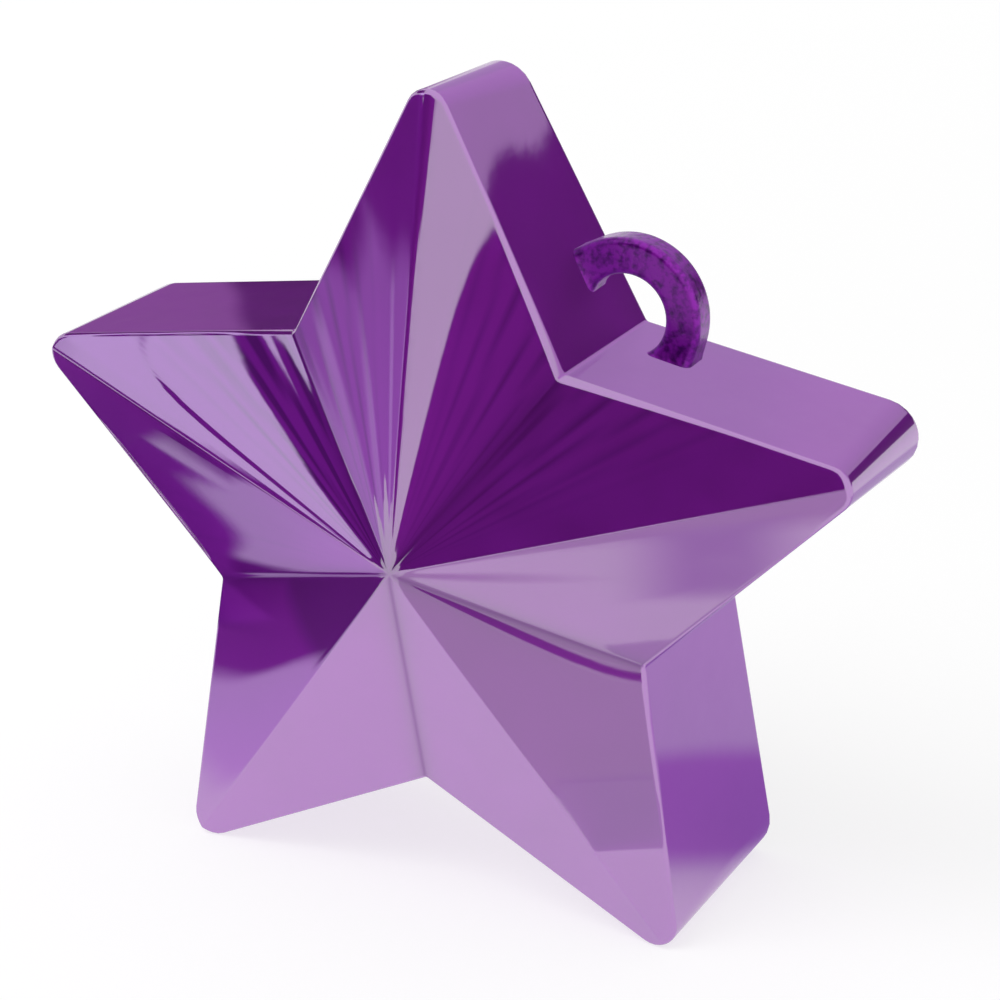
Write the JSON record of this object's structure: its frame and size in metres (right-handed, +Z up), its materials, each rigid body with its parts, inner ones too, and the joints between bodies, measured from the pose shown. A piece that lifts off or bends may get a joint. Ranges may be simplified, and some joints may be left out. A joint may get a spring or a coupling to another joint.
{
  "type": "balloon weight",
  "caption": "Star-shaped balloon weight: a faceted mirror-purple plastic shell with a moulded ribbon loop, closed at the back by a flat cover and filled with set ballast.",
  "frame": {"origin": "on the floor under the middle of the star's box, with the star standing on its two lower points", "axes": "+Z up through the top point, +X to the right as seen from the faceted front, +Y from the front to the flat back"},
  "size_m": [0.09, 0.0326, 0.0858],
  "materials": {
    "metallised_shell": "polished",
    "cover_plastic": "satin",
    "plug_plastic": "matte",
    "cement_mortar": "matte"
  },
  "bodies": {
    "root": {"front_shell": "metallised_shell", "back_cover": "cover_plastic", "fill_plug": "plug_plastic", "ballast_block": "cement_mortar"}
  },
  "joints": []
}
